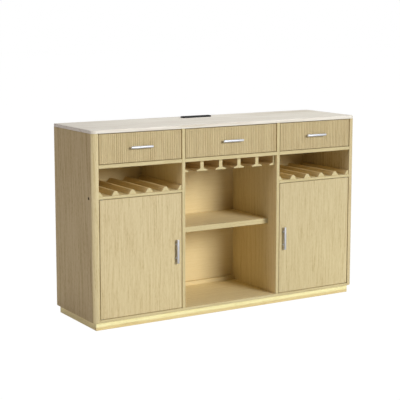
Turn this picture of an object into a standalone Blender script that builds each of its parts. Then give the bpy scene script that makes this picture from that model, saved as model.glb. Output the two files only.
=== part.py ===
# Buffet cabinet with two doors, three reeded drawers, two bottle racks and a stemware rack.
# Metres, +Z up, front towards -Y. The origin is on the floor, in the middle of the overall box.

import math

import bmesh
import bpy
from mathutils import Matrix, Vector

# Overall carcass
CABINET_WIDTH = 1.450
CABINET_DEPTH = 0.400
CABINET_HEIGHT = 0.900
SEAT = 0.0003              # gap between pieces that rest on or against each other
BOARD_EDGE = 0.0008        # arris taken off every board edge
ROUND_STEPS = 8            # straight steps in a quarter round
ROUND_SIDES = 20           # sides of a pin, bore or bar
SHARP_ANGLE = math.radians(40)
WELD_DISTANCE = 0.00001

# Boards
TOP_THICKNESS = 0.015
TOP_EDGE = 0.0020
SIDE_THICKNESS = 0.030
SIDE_ROUND = 0.031         # radius of the round on the front edge of each side panel, repeated by the top
SIDE_ROUND_SWEEP = math.radians(60)    # how far it turns before it meets the side face in a soft edge
SIDE_LAND = 0.002          # flat left beside that round
DIVIDER_THICKNESS = 0.016
DECK_THICKNESS = 0.016
BOTTOM_THICKNESS = 0.012
BACK_THICKNESS = 0.009
BACK_INSET = 0.003         # rear face of the back panel ahead of the side panels' rear edges
BACK_REBATE = 0.010        # how far the back panel is let into each side panel
BATTEN_HEIGHT = 0.020
BATTEN_DEPTH = 0.020
PLINTH_HEIGHT = 0.038
PLINTH_SETBACK = 0.017
PLINTH_BOARD = 0.016

# Bays
CENTRE_BAY_WIDTH = 0.510
DRAWER_BAY_HEIGHT = 0.138
BOTTLE_BAY_HEIGHT = 0.125

# Plugged bolt hole in each side panel
BOLT_HOLE_RADIUS = 0.005
BOLT_HOLE_DEPTH = 0.008
BOLT_HOLE_SETBACK = 0.042
BOLT_HOLE_RISE = 0.003     # centre of the hole above the underside of the bottle shelf

# Bottle racks
BOTTLE_PLACES = 5
BOTTLE_SHELF_THICKNESS = 0.012
BOTTLE_RAIL_WIDTH = 0.041
BOTTLE_RAIL_TOP = 0.012
BOTTLE_RAIL_HEIGHT = 0.020
BOTTLE_RAIL_ROUND = 0.003
BOTTLE_RAIL_SETBACK = 0.005
END_RAIL_WIDTH = 0.0225    # the half rail against each wall of the bay

# Stemware rack
STEM_PLACES = 5
STEM_RAIL_DROP = 0.049     # underside of the rails below the deck that carries them
STEM_FLANGE_WIDTH = 0.057
STEM_FLANGE_EDGE = 0.005
STEM_FLANGE_ROOT = 0.012
STEM_WEB = 0.018
STEM_RAIL_SETBACK = 0.020

# Centre shelf and the dowels that carry it
SHELF_THICKNESS = 0.025
SHELF_LEVEL = 0.364        # top of the shelf above the floor of its bay
SHELF_SETBACK = 0.073
SHELF_END_GAP = 0.0010
DOWEL_RADIUS = 0.004
DOWEL_CLEARANCE = 0.0003
DOWEL_WALL = 0.006         # wood left behind each dowel bore
DOWEL_INSET = 0.050        # dowels from the front and rear edges of the shelf

# Doors and the pivot pins that they turn on
FRONT_RECESS = 0.002       # doors and drawer fronts behind the front of the carcass
DOOR_THICKNESS = 0.016
DOOR_GAP = 0.003
DOOR_CORNER_CLEARANCE = 0.0008
PIVOT_RADIUS = 0.0038
PIVOT_CLEARANCE = 0.0003
PIVOT_COLLAR_RADIUS = 0.006
PIVOT_DOOR_DEPTH = 0.012
PIVOT_WALL = 0.003         # board left behind each pivot bore

# Drawers
DRAWER_GAP = 0.003
DRAWER_FRONT_THICKNESS = 0.018
REED_PITCH = 0.0095
REED_DEPTH = 0.0024
REED_STEPS = 4
DRAWER_WALL = 0.012
DRAWER_FLOOR = 0.006
DRAWER_UNDER_GAP = 0.008
DRAWER_HEADROOM = 0.008    # drawer box below the power module
DRAWER_REAR_GAP = 0.014

# Drawer slides: a channel on the cabinet wall and a rail on the drawer side
SLIDE_SPACE = 0.0127       # between the drawer side and the cabinet wall
SLIDE_HEIGHT = 0.035
SLIDE_SHEET = 0.0015
SLIDE_LIP = 0.005
SLIDE_FRONT_GAP = 0.004
RAIL_CLEARANCE = 0.0004
RAIL_HEAD = 0.005

# Bar handles
HANDLE_LENGTH = 0.110
HANDLE_DIAMETER = 0.012
HANDLE_STANDOFF = 0.013    # axis of the bar in front of the face that it is fixed to
HANDLE_POST_SPACING = 0.064
HANDLE_POST_DIAMETER = 0.009
HANDLE_END_CHAMFER = 0.0012
HANDLE_EDGE_INSET = 0.026  # axis of a door handle from the free edge of its door

# Power module let into the top
POWER_LENGTH = 0.160
POWER_DEPTH = 0.032
POWER_PROUD = 0.007
POWER_CORNER = 0.006
POWER_LIP = 0.004          # flange beyond the body all round
POWER_BODY_DROP = 0.045    # underside of the body below the surface of the top
POWER_REAR_MARGIN = 0.055

# Planes that the pieces share
HALF_WIDTH = CABINET_WIDTH / 2
HANDLE_REACH = HANDLE_STANDOFF + HANDLE_DIAMETER / 2 - FRONT_RECESS
FRONT = (HANDLE_REACH - CABINET_DEPTH) / 2
REAR = FRONT + CABINET_DEPTH
BACK_FACE = REAR - BACK_INSET - BACK_THICKNESS
PANEL_REAR = BACK_FACE - SEAT
SIDE_INNER = HALF_WIDTH - SIDE_THICKNESS
FRONT_ROUND = min(SIDE_ROUND, (SIDE_THICKNESS - SIDE_LAND) / math.sin(SIDE_ROUND_SWEEP))
DIVIDER_INNER = CENTRE_BAY_WIDTH / 2
DIVIDER_OUTER = DIVIDER_INNER + DIVIDER_THICKNESS
TOP_UNDERSIDE = CABINET_HEIGHT - TOP_THICKNESS
BAY_FLOOR = PLINTH_HEIGHT + BOTTOM_THICKNESS
DECK_TOP = TOP_UNDERSIDE - DRAWER_BAY_HEIGHT
DECK_UNDERSIDE = DECK_TOP - DECK_THICKNESS
BOTTLE_FLOOR = DECK_UNDERSIDE - BOTTLE_BAY_HEIGHT
BOTTLE_SHELF_UNDERSIDE = BOTTLE_FLOOR - BOTTLE_SHELF_THICKNESS
PIVOT_PANEL_DEPTH = min(BOTTLE_SHELF_THICKNESS, BOTTOM_THICKNESS) - PIVOT_WALL
DOOR_FACE = FRONT + FRONT_RECESS
PIVOT_Y = DOOR_FACE + DOOR_THICKNESS / 2

# The pivot stands in from the door's edge just far enough for the front corner to swing past the jamb.
CORNER_SWING = DOOR_GAP - DOOR_CORNER_CLEARANCE
PIVOT_INSET = ((DOOR_THICKNESS / 2) ** 2 - CORNER_SWING ** 2) / (2 * CORNER_SWING)

BAYS = {
    "left": (-SIDE_INNER, -DIVIDER_OUTER),
    "centre": (-DIVIDER_INNER, DIVIDER_INNER),
    "right": (DIVIDER_OUTER, SIDE_INNER),
}
SIDES = {"left": -1, "right": 1}


def fresh_collection(name):
    old = bpy.data.collections.get(name)
    if old:
        bpy.data.collections.remove(old)
    collection = bpy.data.collections.new(name)
    bpy.context.scene.collection.children.link(collection)
    return collection


for leftover in list(bpy.data.objects):
    bpy.data.objects.remove(leftover, do_unlink=True)
CABINET = fresh_collection("buffet_cabinet")
CUTTERS = fresh_collection("cutters")


def linear(hex_colour):
    channels = [int(hex_colour[i:i + 2], 16) / 255 for i in (0, 2, 4)]
    return [c / 12.92 if c <= 0.04045 else ((c + 0.055) / 1.055) ** 2.4 for c in channels]


def finish(name, hex_colour, roughness, metallic=0.0):
    material = bpy.data.materials.get(name) or bpy.data.materials.new(name)
    material.use_nodes = True
    shader = material.node_tree.nodes["Principled BSDF"]
    shader.inputs["Base Color"].default_value = (*linear(hex_colour), 1.0)
    shader.inputs["Roughness"].default_value = roughness
    shader.inputs["Metallic"].default_value = metallic
    return material


OAK_FRONT = finish("oak_front", "D6C796", 0.55)
OAK_CARCASS = finish("oak_carcass", "DCCB9C", 0.55)
OAK_REEDED = finish("oak_reeded", "C8B684", 0.55)
OAK_INNER = finish("oak_inner", "CDB583", 0.60)
OAK_PLINTH = finish("oak_plinth", "E8D8A0", 0.55)
PLYWOOD = finish("drawer_plywood", "D9C7A0", 0.65)
STONE_TOP = finish("stone_top", "DAD2C8", 0.35)
CHROME = finish("chrome", "E4E4E6", 0.12, 1.0)
ZINC_STEEL = finish("zinc_steel", "A9ABAD", 0.35, 1.0)
BLACK_PLASTIC = finish("black_plastic", "1C1C19", 0.45)


def add_object(name, data, parent, place, collection=CABINET):
    item = bpy.data.objects.new(name, data)
    collection.objects.link(item)
    item.parent = parent
    item.location = Vector(place) - (parent.location if parent else Vector())
    return item


def add_body(name, place=(0.0, 0.0, 0.0)):
    return add_object(name, None, None, place)


def arris(item, width, segments=1):
    bevel = item.modifiers.new("arris", "BEVEL")
    bevel.width = width
    bevel.segments = segments
    bevel.limit_method = "ANGLE"
    bevel.angle_limit = SHARP_ANGLE


def box_mesh(name, size):
    mesh = bpy.data.meshes.new(name)
    shape = bmesh.new()
    bmesh.ops.create_cube(shape, size=1.0, matrix=Matrix.Diagonal((*size, 1.0)))
    shape.to_mesh(mesh)
    shape.free()
    return mesh


def round_mesh(name, radius, length, axis):
    quarter = math.pi / 2
    turn = {"X": Matrix.Rotation(quarter, 4, "Y"), "Y": Matrix.Rotation(quarter, 4, "X"), "Z": Matrix()}
    mesh = bpy.data.meshes.new(name)
    shape = bmesh.new()
    bmesh.ops.create_cone(shape, cap_ends=True, segments=ROUND_SIDES, radius1=radius, radius2=radius,
                          depth=length, matrix=turn[axis])
    shape.to_mesh(mesh)
    shape.free()
    return mesh


def board(name, x, y, z, material, parent):
    size = [high - low for low, high in (x, y, z)]
    middle = [(high + low) / 2 for low, high in (x, y, z)]
    item = add_object(name, box_mesh(name, size), parent, middle)
    item.data.materials.append(material)
    arris(item, BOARD_EDGE)
    return item


def shape_with(target, tool_name, mesh, place, operation):
    # Cuts the target with a hidden tool, or joins the tool's shape to it.
    tool = add_object(tool_name, mesh, target.parent, place, CUTTERS)
    tool.hide_render = True
    tool.display_type = "WIRE"
    boolean = target.modifiers.new(tool_name, "BOOLEAN")
    boolean.operation = operation
    boolean.solver = "EXACT"
    boolean.object = tool


def filleted(corners):
    # Turns (x, y, radius) corners into an outline with an arc at each corner that has a radius.
    outline = []
    for index, (x, y, radius) in enumerate(corners):
        corner = Vector((x, y))
        if radius <= 0:
            outline.append(corner)
            continue
        before = (Vector(corners[index - 1][:2]) - corner).normalized()
        after = (Vector(corners[(index + 1) % len(corners)][:2]) - corner).normalized()
        half_angle = before.angle(after) / 2
        centre = corner + (before + after).normalized() * radius / math.sin(half_angle)
        start = corner + before * radius / math.tan(half_angle) - centre
        sweep = start.angle_signed(corner + after * radius / math.tan(half_angle) - centre)
        steps = max(2, round(ROUND_STEPS * abs(sweep) / (math.pi / 2)))
        for step in range(steps + 1):
            outline.append(centre + Matrix.Rotation(-sweep * step / steps, 2) @ start)
    return outline


def prism(name, outlines, along, start, end, material, parent, place=(0.0, 0.0)):
    # Extrudes flat outlines: along Z they lie in XY, along Y they lie in XZ. Later outlines are holes.
    curve = bpy.data.curves.new(name, "CURVE")
    curve.dimensions = "2D"
    curve.fill_mode = "BOTH"
    curve.extrude = (end - start) / 2
    for outline in outlines:
        spline = curve.splines.new("POLY")
        spline.points.add(len(outline) - 1)
        for point, (u, v) in zip(spline.points, outline):
            point.co = (u, v, 0.0, 1.0)
        spline.use_cyclic_u = True
    middle = (start + end) / 2
    upright = along == "Z"
    item = add_object(name, curve, parent, (*place, middle) if upright else (place[0], middle, place[1]))
    item.rotation_euler.x = 0.0 if upright else math.pi / 2
    curve.materials.append(material)
    return item


def as_mesh(item):
    # A piece that is cut has to be a mesh, so the extruded curve is swapped for its welded shape.
    bpy.context.view_layer.update()
    name, parent, place = item.name, item.parent, item.matrix_world.copy()
    mesh = bpy.data.meshes.new_from_object(item.evaluated_get(bpy.context.evaluated_depsgraph_get()))
    bpy.data.objects.remove(item, do_unlink=True)
    shape = bmesh.new()
    shape.from_mesh(mesh)
    bmesh.ops.remove_doubles(shape, verts=shape.verts, dist=WELD_DISTANCE)
    shape.to_mesh(mesh)
    shape.free()
    mesh.name = name
    solid = add_object(name, mesh, parent, (0.0, 0.0, 0.0))
    bpy.context.view_layer.update()
    solid.matrix_world = place
    return solid


def build_plinth(carcass):
    outer = HALF_WIDTH - PLINTH_SETBACK
    front = FRONT + PLINTH_SETBACK
    height = (0.0, PLINTH_HEIGHT - SEAT)
    board("plinth_front", (-outer, outer), (front, front + PLINTH_BOARD), height, OAK_PLINTH, carcass)
    for side, sign in SIDES.items():
        width = sorted((sign * outer, sign * (outer - PLINTH_BOARD)))
        board(f"plinth_{side}", width, (front + PLINTH_BOARD + SEAT, REAR), height, OAK_PLINTH, carcass)
    inner = outer - PLINTH_BOARD - SEAT
    board("plinth_back", (-inner, inner), (REAR - PLINTH_BOARD, REAR), height, OAK_PLINTH, carcass)


def rounded_front(sign):
    # The front corner on one side: an arc from the side face on to the front.
    corners = []
    for step in range(ROUND_STEPS + 1):
        turn = SIDE_ROUND_SWEEP * (1 - step / ROUND_STEPS)
        inset = FRONT_ROUND * (math.sin(SIDE_ROUND_SWEEP) - math.sin(turn))
        corners.append((sign * (HALF_WIDTH - inset), FRONT + FRONT_ROUND * (1 - math.cos(turn)), 0.0))
    return corners


def build_sides(carcass):
    rebate = SIDE_INNER + BACK_REBATE
    for side, sign in SIDES.items():
        outline = filleted([
            (sign * HALF_WIDTH, REAR, BOARD_EDGE),
            *rounded_front(sign),
            (sign * SIDE_INNER, FRONT, BOARD_EDGE),
            (sign * SIDE_INNER, BACK_FACE - SEAT, 0.0),
            (sign * rebate, BACK_FACE - SEAT, 0.0),
            (sign * rebate, REAR, BOARD_EDGE),
        ])
        panel = as_mesh(prism(f"{side}_side_panel", [outline], "Z", PLINTH_HEIGHT, TOP_UNDERSIDE - SEAT,
                              OAK_CARCASS, carcass))
        hole = round_mesh(f"{side}_bolt_hole", BOLT_HOLE_RADIUS, 2 * BOLT_HOLE_DEPTH, "X")
        centre = (sign * HALF_WIDTH, FRONT + BOLT_HOLE_SETBACK, BOTTLE_SHELF_UNDERSIDE + BOLT_HOLE_RISE)
        shape_with(panel, f"{side}_bolt_hole", hole, centre, "DIFFERENCE")


def build_top(carcass):
    outline = filleted([
        (-HALF_WIDTH, REAR, 0.0),
        *rounded_front(-1),
        *reversed(rounded_front(1)),
        (HALF_WIDTH, REAR, 0.0),
    ])
    half_hole = POWER_LENGTH / 2 - POWER_LIP + SEAT
    hole_rear = REAR - POWER_REAR_MARGIN - POWER_LIP + SEAT
    hole_front = REAR - POWER_REAR_MARGIN - POWER_DEPTH + POWER_LIP - SEAT
    hole = [
        (-half_hole, hole_front),
        (half_hole, hole_front),
        (half_hole, hole_rear),
        (-half_hole, hole_rear),
    ]
    top = as_mesh(prism("top_panel", [outline, hole], "Z", TOP_UNDERSIDE, CABINET_HEIGHT, STONE_TOP, carcass))
    arris(top, TOP_EDGE, 2)


def build_power_module(carcass):
    half_length = POWER_LENGTH / 2
    rear = REAR - POWER_REAR_MARGIN
    front = rear - POWER_DEPTH
    flange = filleted([
        (-half_length, rear, POWER_CORNER),
        (-half_length, front, POWER_CORNER),
        (half_length, front, POWER_CORNER),
        (half_length, rear, POWER_CORNER),
    ])
    surface = CABINET_HEIGHT + SEAT
    module = as_mesh(prism("power_module", [flange], "Z", surface, surface + POWER_PROUD, BLACK_PLASTIC,
                           carcass))
    body_top = surface + POWER_PROUD / 2
    body_low = CABINET_HEIGHT - POWER_BODY_DROP
    size = (POWER_LENGTH - 2 * POWER_LIP, POWER_DEPTH - 2 * POWER_LIP, body_top - body_low)
    middle = (0.0, (front + rear) / 2, (body_top + body_low) / 2)
    shape_with(module, "power_body", box_mesh("power_body", size), middle, "UNION")


def build_inner_boards(carcass):
    depth = (FRONT, PANEL_REAR)
    floor = board("bottom_panel", (SEAT - SIDE_INNER, SIDE_INNER - SEAT), depth, (PLINTH_HEIGHT, BAY_FLOOR),
                  OAK_CARCASS, carcass)
    for side, sign in SIDES.items():
        cut_pivot_bore(floor, f"{side}_floor_bore", pivot_x(sign), BAY_FLOOR, PIVOT_PANEL_DEPTH)
        upright = board(f"{side}_divider", sorted((sign * DIVIDER_INNER, sign * DIVIDER_OUTER)), depth,
                        (BAY_FLOOR + SEAT, TOP_UNDERSIDE - SEAT), OAK_CARCASS, carcass)
        for end, y in dowel_rows().items():
            name = f"{side}_{end}_dowel_bore"
            depth_of_bore = DIVIDER_THICKNESS - DOWEL_WALL
            bore = round_mesh(name, DOWEL_RADIUS + DOWEL_CLEARANCE, 2 * depth_of_bore, "X")
            shape_with(upright, name, bore, (sign * DIVIDER_INNER, y, shelf_middle()), "DIFFERENCE")
    for bay, (low, high) in BAYS.items():
        board(f"{bay}_drawer_deck", (low + SEAT, high - SEAT), depth, (DECK_UNDERSIDE, DECK_TOP),
              OAK_CARCASS, carcass)


def build_back(carcass):
    half = SIDE_INNER + BACK_REBATE - SEAT
    board("back_panel", (-half, half), (BACK_FACE, REAR - BACK_INSET), (PLINTH_HEIGHT, TOP_UNDERSIDE - SEAT),
          OAK_INNER, carcass)
    low, high = BAYS["centre"]
    board("back_batten", (low + SEAT, high - SEAT), (PANEL_REAR - BATTEN_DEPTH, PANEL_REAR),
          (BAY_FLOOR + SEAT, BAY_FLOOR + BATTEN_HEIGHT), OAK_INNER, carcass)


def build_bottle_rack(bay, sign, carcass):
    low, high = BAYS[bay]
    shelf = board(f"{bay}_bottle_shelf", (low + SEAT, high - SEAT), (FRONT, PANEL_REAR),
                  (BOTTLE_SHELF_UNDERSIDE, BOTTLE_FLOOR), OAK_CARCASS, carcass)
    cut_pivot_bore(shelf, f"{bay}_shelf_bore", pivot_x(sign), BOTTLE_SHELF_UNDERSIDE, PIVOT_PANEL_DEPTH)
    half, half_top = BOTTLE_RAIL_WIDTH / 2, BOTTLE_RAIL_TOP / 2
    rail = filleted([
        (-half, 0.0, 0.0),
        (half, 0.0, 0.0),
        (half_top, BOTTLE_RAIL_HEIGHT, BOTTLE_RAIL_ROUND),
        (-half_top, BOTTLE_RAIL_HEIGHT, BOTTLE_RAIL_ROUND),
    ])
    slope = half - half_top
    pitch = (high - low) / BOTTLE_PLACES
    for place in range(BOTTLE_PLACES + 1):
        x = low + place * pitch
        outline = rail
        if place in (0, BOTTLE_PLACES):
            facing = 1 if place == 0 else -1
            x += facing * SEAT
            outline = filleted([
                (0.0, 0.0, 0.0),
                (facing * END_RAIL_WIDTH, 0.0, 0.0),
                (facing * (END_RAIL_WIDTH - slope), BOTTLE_RAIL_HEIGHT, BOTTLE_RAIL_ROUND),
                (0.0, BOTTLE_RAIL_HEIGHT, 0.0),
            ])
        prism(f"{bay}_bottle_rail_{place + 1}", [outline], "Y", FRONT + BOTTLE_RAIL_SETBACK, PANEL_REAR,
              OAK_INNER, carcass, (x, BOTTLE_FLOOR + SEAT))


def build_stemware_rack(carcass):
    low, high = BAYS["centre"]
    half, web = STEM_FLANGE_WIDTH / 2, STEM_WEB / 2
    height = STEM_RAIL_DROP - SEAT
    right_half = [(half, 0.0), (half, STEM_FLANGE_EDGE), (web, STEM_FLANGE_ROOT), (web, height)]
    full = right_half + [(-x, z) for x, z in reversed(right_half)]
    pitch = (high - low) / STEM_PLACES
    for place in range(STEM_PLACES + 1):
        x = low + place * pitch
        outline = full
        if place in (0, STEM_PLACES):
            facing = 1 if place == 0 else -1
            x += facing * SEAT
            outline = [(0.0, 0.0)] + [(facing * u, z) for u, z in right_half] + [(0.0, height)]
        prism(f"stemware_rail_{place + 1}", [outline], "Y", FRONT + STEM_RAIL_SETBACK, PANEL_REAR,
              OAK_INNER, carcass, (x, DECK_UNDERSIDE - STEM_RAIL_DROP))


def shelf_middle():
    return BAY_FLOOR + SHELF_LEVEL - SHELF_THICKNESS / 2


def dowel_rows():
    return {"front": FRONT + SHELF_SETBACK + DOWEL_INSET, "rear": PANEL_REAR - DOWEL_INSET}


def build_centre_shelf(carcass):
    end = DIVIDER_INNER - SHELF_END_GAP
    top = BAY_FLOOR + SHELF_LEVEL
    shelf = board("centre_shelf", (-end, end), (FRONT + SHELF_SETBACK, PANEL_REAR),
                  (top - SHELF_THICKNESS, top), OAK_INNER, carcass)
    reach = DIVIDER_INNER + DIVIDER_THICKNESS - DOWEL_WALL - SEAT
    root = end - 2 * DOWEL_RADIUS
    for side, sign in SIDES.items():
        for row, y in dowel_rows().items():
            name = f"{side}_{row}_dowel"
            dowel = round_mesh(name, DOWEL_RADIUS, reach - root, "X")
            shape_with(shelf, name, dowel, (sign * (reach + root) / 2, y, shelf_middle()), "UNION")


def pivot_x(sign):
    return sign * (SIDE_INNER - DOOR_GAP - PIVOT_INSET)


def cut_pivot_bore(target, name, x, face, depth):
    bore = round_mesh(name, PIVOT_RADIUS + PIVOT_CLEARANCE, 2 * depth, "Z")
    shape_with(target, name, bore, (x, PIVOT_Y, face), "DIFFERENCE")


def pivot_pin(name, x, face, up, parent):
    # Turned pin: a stub in the board, a collar that carries the door, and a stub in the door.
    collar = DOOR_GAP - 2 * SEAT
    door_stub = collar + PIVOT_DOOR_DEPTH
    board_stub = PIVOT_PANEL_DEPTH
    profile = [
        (0.0, door_stub),
        (PIVOT_RADIUS, door_stub),
        (PIVOT_RADIUS, collar),
        (PIVOT_COLLAR_RADIUS, collar),
        (PIVOT_COLLAR_RADIUS, 0.0),
        (PIVOT_RADIUS, 0.0),
        (PIVOT_RADIUS, -board_stub),
        (0.0, -board_stub),
    ]
    mesh = bpy.data.meshes.new(name)
    shape = bmesh.new()
    points = [shape.verts.new((radius, 0.0, z)) for radius, z in profile]
    for start, end in zip(points, points[1:]):
        shape.edges.new((start, end))
    shape.to_mesh(mesh)
    shape.free()
    direction = 1 if up else -1
    pin = add_object(name, mesh, parent, (x, PIVOT_Y, face + direction * SEAT))
    pin.rotation_euler.x = 0.0 if up else math.pi
    screw = pin.modifiers.new("turned", "SCREW")
    screw.axis = "Z"
    screw.steps = ROUND_SIDES
    screw.render_steps = ROUND_SIDES
    screw.use_merge_vertices = True
    screw.merge_threshold = WELD_DISTANCE
    mesh.materials.append(ZINC_STEEL)


def bar_handle(name, parent, face, centre, upright):
    # A round bar on two posts, standing in front of the face at the given centre.
    x, z = centre
    axis = "Z" if upright else "X"
    bar = add_object(name, round_mesh(name, HANDLE_DIAMETER / 2, HANDLE_LENGTH, axis), parent,
                     (x, face - HANDLE_STANDOFF, z))
    bar.data.materials.append(CHROME)
    bar.data.shade_smooth()
    bar.data.set_sharp_from_angle(angle=SHARP_ANGLE)
    arris(bar, HANDLE_END_CHAMFER)
    length = HANDLE_STANDOFF - SEAT
    post_y = face - SEAT - length / 2
    for index, shift in enumerate((-HANDLE_POST_SPACING / 2, HANDLE_POST_SPACING / 2)):
        place = (x, post_y, z + shift) if upright else (x + shift, post_y, z)
        post = round_mesh(f"{name}_post_{index + 1}", HANDLE_POST_DIAMETER / 2, length, "Y")
        shape_with(bar, f"{name}_post_{index + 1}", post, place, "UNION")


def build_door(side, sign, carcass):
    outer = SIDE_INNER - DOOR_GAP
    inner = DIVIDER_OUTER + DOOR_GAP
    low = BAY_FLOOR + DOOR_GAP
    high = BOTTLE_SHELF_UNDERSIDE - DOOR_GAP
    x = pivot_x(sign)
    swing = add_body(f"{side}_door_swing", (x, PIVOT_Y, low))
    panel = board(f"{side}_door", sorted((sign * inner, sign * outer)),
                  (DOOR_FACE, DOOR_FACE + DOOR_THICKNESS), (low, high), OAK_FRONT, swing)
    cut_pivot_bore(panel, f"{side}_door_low_bore", x, low, PIVOT_DOOR_DEPTH)
    cut_pivot_bore(panel, f"{side}_door_high_bore", x, high, PIVOT_DOOR_DEPTH)
    handle_centre = (sign * (inner + HANDLE_EDGE_INSET), (low + high) / 2)
    bar_handle(f"{side}_door_handle", swing, DOOR_FACE, handle_centre, True)
    pivot_pin(f"{side}_door_lower_pivot", x, BAY_FLOOR, True, carcass)
    pivot_pin(f"{side}_door_upper_pivot", x, BOTTLE_SHELF_UNDERSIDE, False, carcass)


def reeded_outline(width):
    # Plan of a drawer front: a straight back and a row of round reeds across the face.
    count = max(1, round(width / REED_PITCH))
    pitch = width / count
    outline = [(width / 2, DRAWER_FRONT_THICKNESS), (-width / 2, DRAWER_FRONT_THICKNESS)]
    for step in range(count * REED_STEPS + 1):
        across = step / REED_STEPS % 1.0 - 0.5
        rise = REED_DEPTH * math.cos(math.pi * across)
        outline.append((step / REED_STEPS * pitch - width / 2, REED_DEPTH - rise))
    return outline


def build_drawer(bay, carcass):
    low, high = BAYS[bay]
    middle = (low + high) / 2
    front_low, front_high = DECK_TOP + DRAWER_GAP, TOP_UNDERSIDE - DRAWER_GAP
    box_low = DECK_TOP + DRAWER_UNDER_GAP
    box_high = CABINET_HEIGHT - POWER_BODY_DROP - DRAWER_HEADROOM
    box_front = DOOR_FACE + DRAWER_FRONT_THICKNESS + SEAT
    box_rear = PANEL_REAR - DRAWER_REAR_GAP
    rail_level = (box_low + box_high) / 2
    slide = add_body(f"{bay}_drawer_slide", (middle, DOOR_FACE, rail_level))
    prism(f"{bay}_drawer_front", [reeded_outline(high - low - 2 * DRAWER_GAP)], "Z", front_low, front_high,
          OAK_REEDED, slide, (middle, DOOR_FACE))
    bar_handle(f"{bay}_drawer_handle", slide, DOOR_FACE, (middle, (front_low + front_high) / 2), False)

    box = board(f"{bay}_drawer_box", (low + SLIDE_SPACE, high - SLIDE_SPACE), (box_front, box_rear),
                (box_low, box_high), PLYWOOD, slide)
    hollow = (high - low - 2 * SLIDE_SPACE - 2 * DRAWER_WALL, box_rear - box_front - 2 * DRAWER_WALL,
              2 * (box_high - box_low - DRAWER_FLOOR))
    shape_with(box, f"{bay}_drawer_hollow", box_mesh(f"{bay}_drawer_hollow", hollow),
               (middle, (box_front + box_rear) / 2, box_high), "DIFFERENCE")

    channel_front = box_front + SLIDE_FRONT_GAP
    depth = SLIDE_SPACE - SEAT - RAIL_CLEARANCE
    half, sheet = SLIDE_HEIGHT / 2, SLIDE_SHEET
    upper_half = [(depth, half - SLIDE_LIP), (depth, half), (0.0, half)]
    inner_half = [(sheet, half - sheet), (depth - sheet, half - sheet), (depth - sheet, half - SLIDE_LIP)]
    channel = upper_half + [(x, -z) for x, z in reversed(upper_half)]
    channel += [(x, -z) for x, z in reversed(inner_half)] + inner_half
    rail_depth = box_rear - box_front
    rail_y = (box_front + box_rear) / 2
    head_far = SEAT + depth - sheet - RAIL_CLEARANCE
    for side, wall, facing in (("left", low, 1), ("right", high, -1)):
        outline = [(facing * (u + SEAT), z) for u, z in channel]
        prism(f"{bay}_drawer_runner_{side}", [outline], "Y", channel_front, PANEL_REAR - DRAWER_REAR_GAP,
              ZINC_STEEL, carcass, (wall, rail_level))
        neck_size = (SLIDE_SPACE + DRAWER_WALL / 2 - head_far + RAIL_HEAD / 2, rail_depth,
                     SLIDE_HEIGHT - 2 * SLIDE_LIP - 2 * RAIL_CLEARANCE)
        neck_x = SLIDE_SPACE + DRAWER_WALL / 2 - neck_size[0] / 2
        head_size = (RAIL_HEAD, rail_depth, SLIDE_HEIGHT - 2 * sheet - 2 * RAIL_CLEARANCE)
        head_x = head_far - RAIL_HEAD / 2
        for piece, size, x in (("neck", neck_size, neck_x), ("head", head_size, head_x)):
            name = f"{bay}_{side}_rail_{piece}"
            shape_with(box, name, box_mesh(name, size), (wall + facing * x, rail_y, rail_level), "UNION")


def build_cabinet():
    carcass = add_body("carcass")
    build_plinth(carcass)
    build_inner_boards(carcass)
    build_sides(carcass)
    build_top(carcass)
    build_power_module(carcass)
    build_back(carcass)
    for side, sign in SIDES.items():
        build_bottle_rack(side, sign, carcass)
        build_door(side, sign, carcass)
    build_stemware_rack(carcass)
    build_centre_shelf(carcass)
    for bay in BAYS:
        build_drawer(bay, carcass)


build_cabinet()
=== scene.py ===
# Buffet cabinet in limed oak with a pale stone top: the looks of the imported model.
# Metres, +Z up, front towards -Y. Every piece keeps its object at the origin, with its place in its mesh.
import math

import bmesh
import bpy
from mathutils import Matrix, Vector


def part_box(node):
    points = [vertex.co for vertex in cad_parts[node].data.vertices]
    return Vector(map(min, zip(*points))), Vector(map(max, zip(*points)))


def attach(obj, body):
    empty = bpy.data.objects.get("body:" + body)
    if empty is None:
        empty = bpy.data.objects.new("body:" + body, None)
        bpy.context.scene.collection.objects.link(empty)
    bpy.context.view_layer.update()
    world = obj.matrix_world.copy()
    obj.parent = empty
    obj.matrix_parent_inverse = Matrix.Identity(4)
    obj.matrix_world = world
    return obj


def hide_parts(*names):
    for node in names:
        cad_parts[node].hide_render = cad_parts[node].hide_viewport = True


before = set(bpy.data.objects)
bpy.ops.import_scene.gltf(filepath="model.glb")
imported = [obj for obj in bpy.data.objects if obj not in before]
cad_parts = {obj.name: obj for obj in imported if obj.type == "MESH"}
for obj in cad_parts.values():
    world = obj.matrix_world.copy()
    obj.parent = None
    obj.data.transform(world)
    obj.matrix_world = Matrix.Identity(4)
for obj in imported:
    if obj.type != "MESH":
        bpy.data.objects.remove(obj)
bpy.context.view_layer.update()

mm = 0.001
bays = ("left", "centre", "right")
sides = {"left": -1, "right": 1}
seat = 0.3 * mm          # gap between pieces that rest on each other
weld = 0.001 * mm        # points closer than this become one
over = 1 * mm            # how far a cutter reaches out of what it cuts
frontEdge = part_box("bottom_panel")[0].y


# Nodes, materials and colours

def linearColour(hexCode):
    channels = [int(hexCode[i:i + 2], 16) / 255 for i in (0, 2, 4)]
    return (*[c / 12.92 if c <= 0.04045 else ((c + 0.055) / 1.055) ** 2.4 for c in channels], 1.0)


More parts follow.
